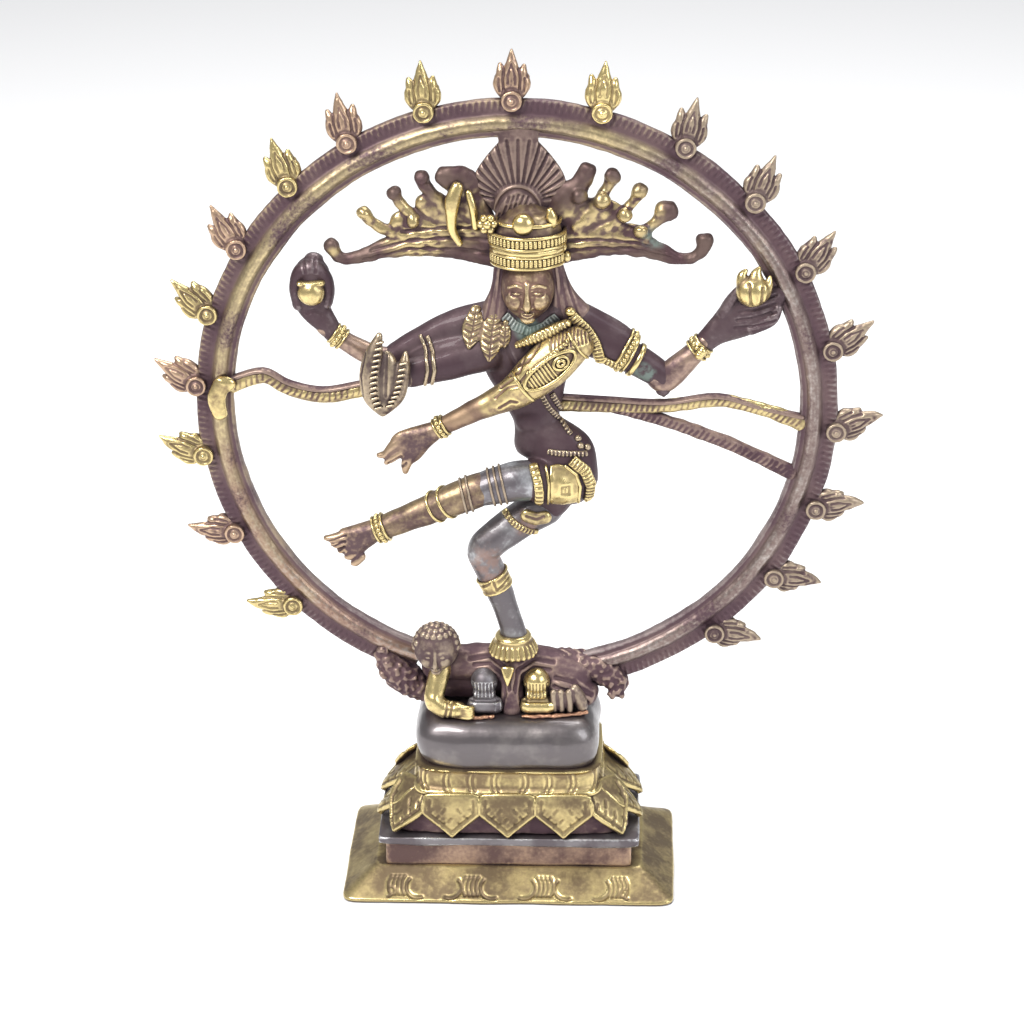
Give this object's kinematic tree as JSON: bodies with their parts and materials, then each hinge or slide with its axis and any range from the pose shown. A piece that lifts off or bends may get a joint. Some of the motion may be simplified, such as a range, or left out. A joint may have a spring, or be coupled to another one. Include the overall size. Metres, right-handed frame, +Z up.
{
  "type": "nataraja statue",
  "caption": "Cast brass four-armed dancer inside a ring of flames, standing on a kneeling dwarf over a cushion and a stepped lotus base.",
  "frame": {"origin": "middle of the foot's underside, on the surface the statue stands on", "axes": "+Z up, +Y to the back, so the dancer faces -Y; +X to the viewer's right"},
  "size_m": [0.1927, 0.052, 0.236],
  "materials": {
    "polished_brass": "polished yellow brass, rubbed bright on what stands proud, dark in the chased lines",
    "maroon_patina": "brown-maroon lacquer patina, satin, worn to brass along the edges",
    "grey_patina": "grey-brown oxidised brass, burnished, with a blue sheen and spots of verdigris",
    "copper_brass": "reddish copper-coloured brass, satin, darker in the recesses"
  },
  "bodies": {
    "root": {"foot_plinth": "polished_brass", "dado": "copper_brass", "slab": "grey_patina", "lotus_petals": "polished_brass", "lotus_collar": "polished_brass", "cushion": "grey_patina", "flame_ring": "maroon_patina", "ring_lobe_left": "maroon_patina", "ring_lobe_right": "maroon_patina", "flame_top": "copper_brass", "flame_left_1": "polished_brass", "flame_right_1": "polished_brass", "flame_left_2": "copper_brass", "flame_right_2": "grey_patina", "flame_left_3": "polished_brass", "flame_right_3": "grey_patina", "flame_left_4": "copper_brass", "flame_right_4": "grey_patina", "flame_left_5": "polished_brass", "flame_right_5": "grey_patina", "flame_left_6": "copper_brass", "flame_right_6": "grey_patina", "flame_left_7": "polished_brass", "flame_right_7": "grey_patina", "flame_left_8": "copper_brass", "flame_right_8": "grey_patina", "flame_left_9": "polished_brass", "flame_right_9": "grey_patina", "dwarf_back": "maroon_patina", "dwarf_head": "grey_patina", "dwarf_arm": "polished_brass", "dwarf_left_shin": "grey_patina", "dwarf_right_shin": "polished_brass", "torso": "grey_patina", "hips": "polished_brass", "head": "copper_brass", "diadem": "polished_brass", "fan_crest": "grey_patina", "hair_wing_left": "polished_brass", "hair_wing_right": "polished_brass", "drum_upper_arm": "maroon_patina", "drum_forearm": "polished_brass", "drum_hand": "grey_patina", "palm_arm": "grey_patina", "palm_hand": "grey_patina", "swing_upper_arm": "polished_brass", "swing_forearm": "polished_brass", "swing_hand": "copper_brass", "flame_upper_arm": "maroon_patina", "flame_forearm": "copper_brass", "flame_hand": "grey_patina", "held_flame": "polished_brass", "standing_thigh": "grey_patina", "standing_shin": "grey_patina", "raised_thigh": "grey_patina", "raised_shin": "polished_brass", "raised_foot": "copper_brass", "scarf_left": "polished_brass", "scarf_right": "polished_brass", "scarf_low": "grey_patina"}
  },
  "joints": []
}
